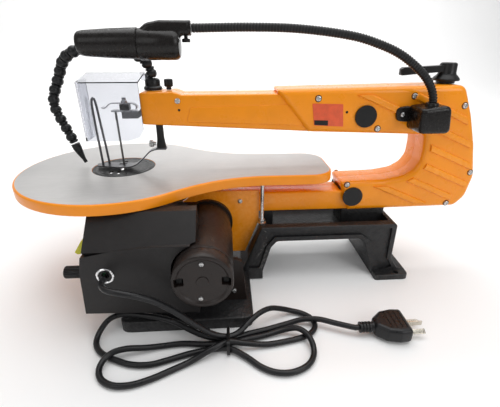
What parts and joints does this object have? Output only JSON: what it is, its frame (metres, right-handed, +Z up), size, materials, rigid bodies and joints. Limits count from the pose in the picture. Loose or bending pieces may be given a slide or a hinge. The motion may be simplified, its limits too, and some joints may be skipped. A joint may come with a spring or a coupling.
{
  "type": "bench scroll saw",
  "caption": "Bench scroll saw: C-frame with rocking arms and thin blade, tilting table, motor, control box, lamp on a flexible neck, air hose and mains cord.",
  "frame": {"origin": "middle of the box round the saw without its cord, on the surface it stands on", "axes": "+X from the blade to the rear of the frame, +Y away from the motor, +Z up"},
  "size_m": [0.6226, 0.3502, 0.3365],
  "materials": {
    "cast_black": "hammered black paint on cast iron",
    "orange_paint": "gloss orange paint on cast aluminium",
    "table_top": "machined top with an orange painted rim",
    "insert_black": "moulded",
    "steel": "bright",
    "dark_steel": "blackened",
    "arm_alloy": "as cast",
    "brass": "plain",
    "black_plastic": "fine grain",
    "motor_black": "satin black",
    "yellow_plastic": "moulded",
    "clear_plastic": "clear moulded",
    "rubber": "matte",
    "board_green": "lacquered",
    "label": "blank printed panels"
  },
  "bodies": {
    "saw_body": {"base_casting": "cast_black", "frame_half_near": "orange_paint", "frame_half_far": "orange_paint", "upper_pivot_pin": "steel", "lower_pivot_pin": "steel", "upper_pivot_cap_near": "black_plastic", "upper_pivot_cap_far": "black_plastic", "lower_pivot_cap_near": "black_plastic", "lower_pivot_cap_far": "black_plastic", "label_plate": "label", "tension_collar": "dark_steel", "motor_can": "motor_black", "motor_end_cap": "black_plastic", "motor_mount_ring": "cast_black", "motor_stay": "cast_black", "crank_bracket": "orange_paint", "control_box": "black_plastic", "cord_gland": "rubber", "speed_board": "board_green", "trunnion_bracket": "cast_black", "table_stop_bolt": "steel", "guard_mount": "dark_steel", "hose_collar": "black_plastic", "air_bellows": "rubber", "air_tube": "clear_plastic", "lamp_base": "black_plastic", "lamp_neck": "dark_steel", "power_cord": "rubber", "plug_body": "rubber", "plug_pins": "brass", "cord_tie": "black_plastic"},
    "upper_arm": {"upper_arm": "arm_alloy", "upper_pivot_bush": "brass", "upper_jaw_plate": "steel", "upper_clamp_block": "dark_steel"},
    "lower_arm": {"lower_arm": "arm_alloy", "lower_pivot_bush": "brass", "lower_blade_clamp": "dark_steel"},
    "clamp_lever": {"clamp_lever": "steel"},
    "blade": {"blade": "steel"},
    "tension_rod": {"tension_rod": "steel"},
    "tension_lever": {"tension_lever": "black_plastic"},
    "crank": {"crank_shaft": "steel"},
    "connecting_rod": {"connecting_rod": "steel"},
    "switch_flap": {"switch_flap": "yellow_plastic"},
    "speed_knob": {"speed_knob": "black_plastic"},
    "table": {"table": "table_top", "table_insert": "insert_black", "table_trunnion": "cast_black"},
    "tilt_lock_knob": {"tilt_lock_knob": "black_plastic"},
    "hold_down": {"hold_down_post": "black_plastic", "hold_down_foot": "steel"},
    "hold_down_screw": {"hold_down_screw": "steel"},
    "post_lock_knob": {"post_lock_knob": "black_plastic"},
    "blade_guard": {"blade_guard": "clear_plastic"},
    "air_hose": {"air_hose": "black_plastic"},
    "air_nozzle": {"air_nozzle": "black_plastic"},
    "lamp_head": {"lamp_rear": "black_plastic", "lamp_barrel": "black_plastic", "lamp_lens": "clear_plastic"}
  },
  "joints": [
    {"name": "arm_rock", "type": "hinge", "parent": "saw_body", "child": "upper_arm", "pos_m": [0.14125, 0.02075, 0.2295], "axis": [0, 1, 0], "range_deg": [-1.43, 1.43]},
    {"name": "lower_arm_rock", "type": "hinge", "parent": "saw_body", "child": "lower_arm", "pos_m": [0.13775, 0.02075, 0.118], "axis": [0, 1, 0], "range_deg": [-1.48, 1.48]},
    {"name": "blade_stroke", "type": "slide", "parent": "saw_body", "child": "blade", "axis": [0, 0, 1], "range_m": [-0.0081, 0.0081]},
    {"name": "tension_rod_stroke", "type": "slide", "parent": "saw_body", "child": "tension_rod", "axis": [0, 0, 1], "range_m": [-0.003, 0.003]},
    {"name": "tension_lever_turn", "type": "hinge", "parent": "tension_rod", "child": "tension_lever", "pos_m": [0.25325, 0.02075, 0.28], "axis": [0, 0, -1], "range_deg": [0, 180]},
    {"name": "clamp_lever_turn", "type": "hinge", "parent": "upper_arm", "child": "clamp_lever", "pos_m": [-0.16615, 0.02075, 0.245], "axis": [0, 0, 1], "range_deg": [-40, 40]},
    {"name": "crank_turn", "type": "hinge", "parent": "saw_body", "child": "crank", "pos_m": [-0.06575, -0.00925, 0.087], "axis": [0, 1, 0], "continuous": true},
    {"name": "connecting_rod_swing", "type": "hinge", "parent": "lower_arm", "child": "connecting_rod", "pos_m": [-0.06575, 0.01175, 0.111], "axis": [0, 1, 0], "range_deg": [-12, 12]},
    {"name": "switch_flap_lift", "type": "hinge", "parent": "saw_body", "child": "switch_flap", "pos_m": [-0.19425, -0.09725, 0.1185], "axis": [0, 1, 0], "range_deg": [0, 30]},
    {"name": "speed_knob_turn", "type": "hinge", "parent": "saw_body", "child": "speed_knob", "pos_m": [-0.20875, -0.11725, 0.085], "axis": [1, 0, 0], "range_deg": [0, 270]},
    {"name": "table_tilt", "type": "hinge", "parent": "saw_body", "child": "table", "pos_m": [-0.17875, 0.02075, 0.154], "axis": [-1, 0, 0], "range_deg": [0, 45]},
    {"name": "tilt_lock_turn", "type": "hinge", "parent": "saw_body", "child": "tilt_lock_knob", "pos_m": [-0.10875, 0.02075, 0.134], "axis": [1, 0, 0], "range_deg": [0, 360]},
    {"name": "hold_down_slide", "type": "slide", "parent": "saw_body", "child": "hold_down", "axis": [0, 0, 1], "range_m": [-0.002, 0.018]},
    {"name": "hold_down_screw_turn", "type": "hinge", "parent": "hold_down", "child": "hold_down_screw", "pos_m": [-0.13375, 0.00875, 0.195], "axis": [1, 0, 0], "range_deg": [0, 360]},
    {"name": "post_lock_turn", "type": "hinge", "parent": "saw_body", "child": "post_lock_knob", "pos_m": [-0.10875, 0.02475, 0.266], "axis": [0, 0, 1], "range_deg": [0, 360]},
    {"name": "guard_lift", "type": "hinge", "parent": "saw_body", "child": "blade_guard", "pos_m": [-0.13575, 0.03575, 0.275], "axis": [0, 1, 0], "range_deg": [0, 12]},
    {"name": "hose_swivel", "type": "hinge", "parent": "saw_body", "child": "air_hose", "pos_m": [-0.12875, 0.02575, 0.274], "axis": [0, 0, 1], "range_deg": [-40, 0]},
    {"name": "nozzle_tilt", "type": "hinge", "parent": "air_hose", "child": "air_nozzle", "pos_m": [-0.23925, 0.02275, 0.1945], "axis": [0, 1, 0], "range_deg": [-12, 6]},
    {"name": "lamp_swivel", "type": "hinge", "parent": "saw_body", "child": "lamp_head", "pos_m": [-0.08875, -0.02425, 0.329], "axis": [1, 0, 0], "range_deg": [-20, 45]}
  ],
  "couplings": [
    {"joint": "lower_arm_rock", "follows": "arm_rock", "ratio": 1.0111},
    {"joint": "blade_stroke", "follows": "arm_rock", "m_per_rad": 0.32},
    {"joint": "tension_rod_stroke", "follows": "arm_rock", "m_per_rad": -0.112},
    {"joint": "hold_down_slide", "follows": "table_tilt", "m_per_rad": 0.0228}
  ]
}
